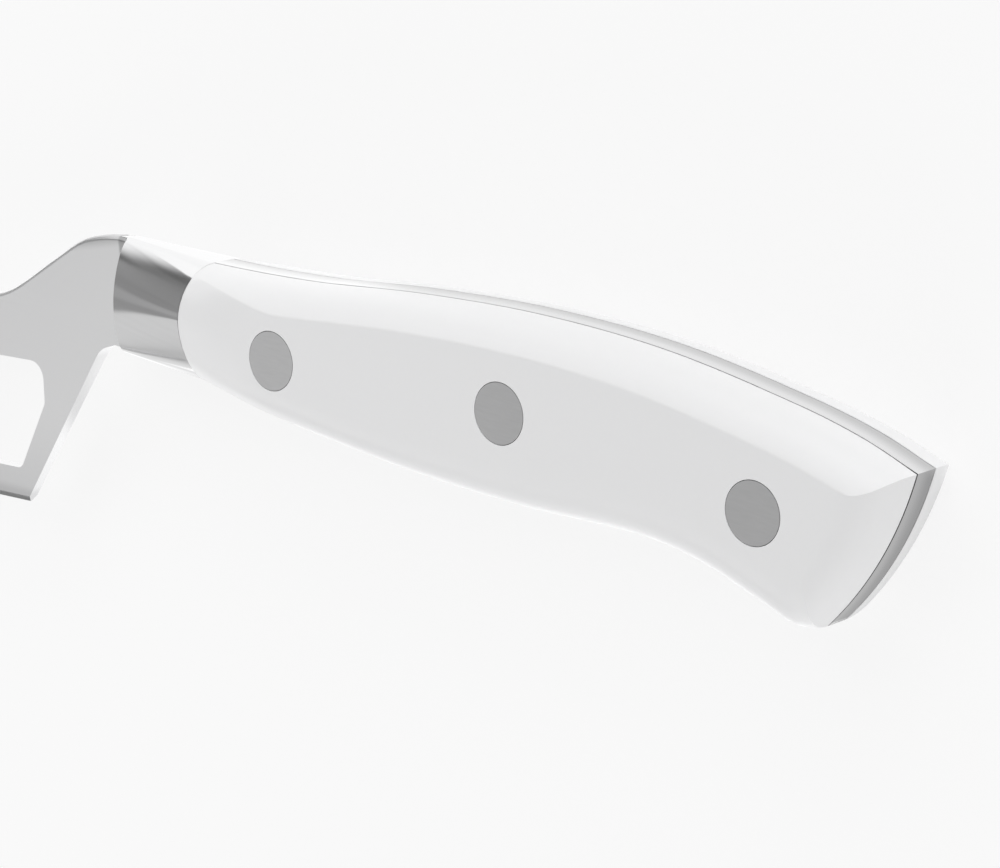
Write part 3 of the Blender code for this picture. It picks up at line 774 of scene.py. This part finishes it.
def drawn_out(name, rings):
    """A tube drawn out of a circle ring by ring, left in edit mode with its last ring selected."""
    bpy.ops.object.select_all(action="DESELECT")
    bpy.ops.mesh.primitive_circle_add(vertices=len(rings[0]), radius=0.008, fill_type="NOTHING")
    piece = bpy.context.object
    piece.name = piece.data.name = name
    start_edit(piece)
    bpy.ops.mesh.select_all(action="SELECT")
    for index, ring in enumerate(rings):
        if index:
            bpy.ops.mesh.extrude_region_move(TRANSFORM_OT_translate={"value": (-0.001, 0, 0)})
        bpy.ops.object.mode_set(mode="OBJECT")
        selected = [vertex for vertex in piece.data.vertices if vertex.select]
        for vertex, point in zip(selected, ring):
            vertex.co = point
        bpy.ops.object.mode_set(mode="EDIT")
    return piece


def bore(piece, place, radius, low, high):
    """Bores a round hole into a piece between two heights."""
    bpy.ops.mesh.primitive_cylinder_add(
        vertices=96, radius=radius, depth=high - low, location=(place.x, place.y, (low + high) / 2)
    )
    drill = bpy.context.object
    apply_modifier(piece, "BOOLEAN", operation="DIFFERENCE", solver="EXACT", object=drill)
    bpy.data.objects.remove(drill)


def left_scale():
    """The left handle scale: drawn out along the handle, domed at the butt, bored for rivets."""
    piece = drawn_out("left_handle_scale", scale_rings())
    bpy.ops.mesh.select_all(action="DESELECT")
    select_points(piece, lambda co: co.x < JOINT_X + SCALE_START + 0.000001)
    bpy.ops.mesh.edge_face_add()
    bpy.ops.mesh.select_all(action="SELECT")
    bpy.ops.mesh.remove_doubles(threshold=0.000002)
    bpy.ops.mesh.normals_make_consistent(inside=False)
    bpy.ops.mesh.select_all(action="DESELECT")
    bpy.ops.mesh.select_mode(type="EDGE")
    bpy.ops.mesh.edges_select_sharp(sharpness=math.radians(50))
    bpy.ops.mesh.bevel(offset=0.00008, segments=2, clamp_overlap=True)
    bpy.ops.object.mode_set(mode="OBJECT")
    for place in RIVET_PLACES:
        bore(piece, place, 0.00408, MIDDLE_Z + 0.0065, MIDDLE_Z + 0.011)
        bore(piece, place, 0.0028, MIDDLE_Z + 0.001, MIDDLE_Z + 0.007)
    finish_surface(piece, 30)
    return piece


def mirrored(piece, name):
    """A copy of a piece with its own mesh, turned over to the other side of the tang."""
    bpy.ops.object.select_all(action="DESELECT")
    piece.select_set(True)
    bpy.context.view_layer.objects.active = piece
    bpy.ops.object.duplicate()
    copy = bpy.context.object
    copy.name = copy.data.name = name
    start_edit(copy)
    bpy.ops.mesh.select_all(action="SELECT")
    bpy.ops.transform.resize(value=(1, 1, -1), center_override=(0, 0, MIDDLE_Z))
    bpy.ops.mesh.normals_make_consistent(inside=False)
    bpy.ops.object.mode_set(mode="OBJECT")
    finish_surface(copy, 30)
    return copy


def cut_off(cut_x, **side):
    """Cuts the piece being edited across at this place, closes the cut and drops one side."""
    bpy.ops.mesh.select_all(action="SELECT")
    bpy.ops.mesh.bisect(
        plane_co=(cut_x, 0, 0), plane_no=(1, 0, 0), use_fill=True, threshold=0.000001, **side
    )
    bpy.ops.mesh.select_all(action="DESELECT")


def blade_plate():
    """The ground blade, cut free of the bolster's form and carried on into it."""
    piece = copy_of("blade_and_tang", "blade_plate")
    start_edit(piece)
    cut_x = RIM_X - FILLET - 0.0001
    cut_off(cut_x, clear_outer=True)
    select_points(piece, lambda co: co.x > cut_x - 0.00001)
    bpy.ops.mesh.select_mode(type="FACE")
    bpy.ops.mesh.extrude_region_move(TRANSFORM_OT_translate={"value": (0.003, 0, 0)})
    bpy.ops.object.mode_set(mode="OBJECT")
    finish_surface(piece, 28)
    return piece


def tang():
    """The flat tang between the scales, carried on into the bolster."""
    piece = copy_of("blade_and_tang", "tang")
    start_edit(piece)
    cut_x = JOINT_X + 0.0001
    cut_off(cut_x, clear_inner=True)
    select_points(piece, lambda co: co.x < cut_x + 0.00001)
    bpy.ops.mesh.select_mode(type="FACE")
    bpy.ops.mesh.extrude_region_move(TRANSFORM_OT_translate={"value": (-0.002, 0, 0)})
    bpy.ops.transform.resize(value=(1, 0.95, 0.95), center_override=(cut_x, 0, MIDDLE_Z))
    bpy.ops.mesh.select_all(action="DESELECT")
    bpy.ops.mesh.select_mode(type="EDGE")
    bpy.ops.object.mode_set(mode="OBJECT")
    finish_surface(piece, 24)
    return piece


def egg(top, bottom, widest, half, flat, power_up, power_down, count):
    """Points (y, z) round an egg-shaped section, from the back down the left and up the right."""
    points = []
    for i in range(count):
        angle = math.pi / 2 - math.tau * i / count
        rise, out = math.sin(angle), math.cos(angle)
        power = 2 / (power_up if rise >= 0 else power_down)
        reach = (top - widest) if rise >= 0 else (bottom - widest)
        y = widest + reach * abs(rise) ** power
        z = math.copysign(flat + (half - flat) * abs(out) ** power, out)
        points.append((y, z))
    return points


def rim_bow(y):
    """How far the bolster's front rim draws back from its foremost point, towards the belly."""
    return 0.00045 * max(-y / 0.0086, 0)


def bolster():
    """The oval bolster, drawn out from the joint to the rim and eased into the blade by a fillet."""
    count = 128
    rear = egg(0.0085, -0.0084, 0.0015, 0.0084, TANG_HALF, 2.0, 1.6, count)
    rim = egg(0.0082, -0.0086, -0.0006, 0.0035, 0.0006, 1.9, 2.2, count)
    rings = []
    # The first ring carries the slope on into the joint, and the one before the rim keeps it crisp.
    for share in [-0.0128] + steps(0, 1, 12)[:-1] + [0.994, 1]:
        ring = []
        for (rear_y, rear_z), (rim_y, rim_z) in zip(rear, rim):
            y = (1 - share) * rear_y + share * rim_y
            z = (1 - share) * rear_z + share * rim_z
            ring.append((JOINT_X - BOLSTER_LENGTH * share + rim_bow(y) * share, y, MIDDLE_Z + z))
        rings.append(ring)
    for share in steps(0, 1, 8)[1:-1]:
        rise = 1 - math.sqrt(1 - (1 - share) ** 2)
        ring = []
        for y, z in rim:
            core = math.copysign(min(0.0008, abs(z)), z)
            drawn_in = 0.028 if y > 0 else 0.06
            ring.append((y * (1 - drawn_in * share), core + (z - core) * rise))
        rings.append([(RIM_X - FILLET * share + rim_bow(y), y, MIDDLE_Z + z) for y, z in ring])
    piece = drawn_out("bolster", rings)
    bpy.ops.mesh.edge_face_add()
    bpy.ops.mesh.select_all(action="DESELECT")
    select_points(piece, lambda co: co.x > JOINT_X + 0.0002)
    bpy.ops.mesh.edge_face_add()
    bpy.ops.mesh.select_all(action="SELECT")
    bpy.ops.mesh.normals_make_consistent(inside=False)
    bpy.ops.object.mode_set(mode="OBJECT")
    finish_surface(piece, 35)
    return piece


# Painted shade: the left scale's seam is darker, deeply so at the butt; the right scale is only a
# little darker at the butt's seam.
left_plastic = white_plastic("left_plastic", 0.8, 0.08)
right_plastic = white_plastic("right_plastic", 1.0, 0.8)
satin, rivet = satin_steel(), rivet_steel()
bolster_steel = polished_steel("bolster_steel", (12, 1100, 60), 1.0)
# The tang's far side carries painted shade.
tang_steel = polished_steel("tang_steel", (12, 60, 500), 0.72)
left = left_scale()
right = mirrored(left, "right_handle_scale")
forging = [(blade_plate(), satin), (tang(), tang_steel), (bolster(), bolster_steel)]
stand_for(left, left_plastic, "white_plastic", "left_scale")
stand_for(right, right_plastic, "white_plastic", "right_scale")
for piece, steel in forging:
    stand_for(piece, steel, "forged_steel", "blade_and_tang")
for name, node in frame["nodes"].items():
    if "rivet" in name:
        node.data.materials.clear()
        node.data.materials.append(rivet)
